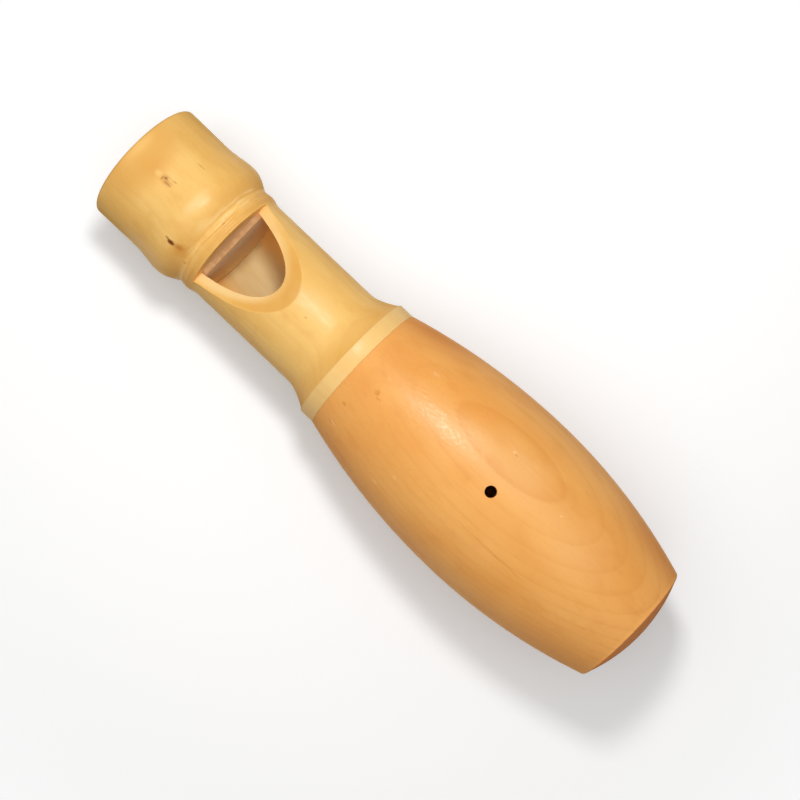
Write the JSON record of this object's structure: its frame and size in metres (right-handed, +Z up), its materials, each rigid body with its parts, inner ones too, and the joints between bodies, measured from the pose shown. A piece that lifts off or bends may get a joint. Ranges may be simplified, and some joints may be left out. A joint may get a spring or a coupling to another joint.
{
  "type": "owl whistle",
  "caption": "Turned wooden owl whistle: waisted mouthpiece with fipple block and cut window, slim neck, and a barrel-shaped resonator with a finger hole, push-fitted on the neck's tenon.",
  "frame": {"origin": "on the surface that the whistle lies on, under the middle of its overall box", "axes": "+X from the mouthpiece to the domed end, +Z up, through the window and the finger hole; the whistle lies on its mouth rim and its belly, so its own axis rises 3.56 degrees towards +X"},
  "size_m": [0.1154, 0.0326, 0.0328],
  "materials": {
    "boxwood": "satin lacquer on pale boxwood",
    "raw_boxwood": "raw cut boxwood",
    "orange_wood": "satin lacquer on orange wood"
  },
  "bodies": {
    "resonator": {"resonator_body": "orange_wood"},
    "head": {"mouthpiece_head": "boxwood", "fipple_block": "raw_boxwood"}
  },
  "joints": [
    {"name": "head_pull", "type": "slide", "parent": "resonator", "child": "head", "axis": [-0.9981, 0, -0.062], "range_m": [0, 0.013]}
  ]
}
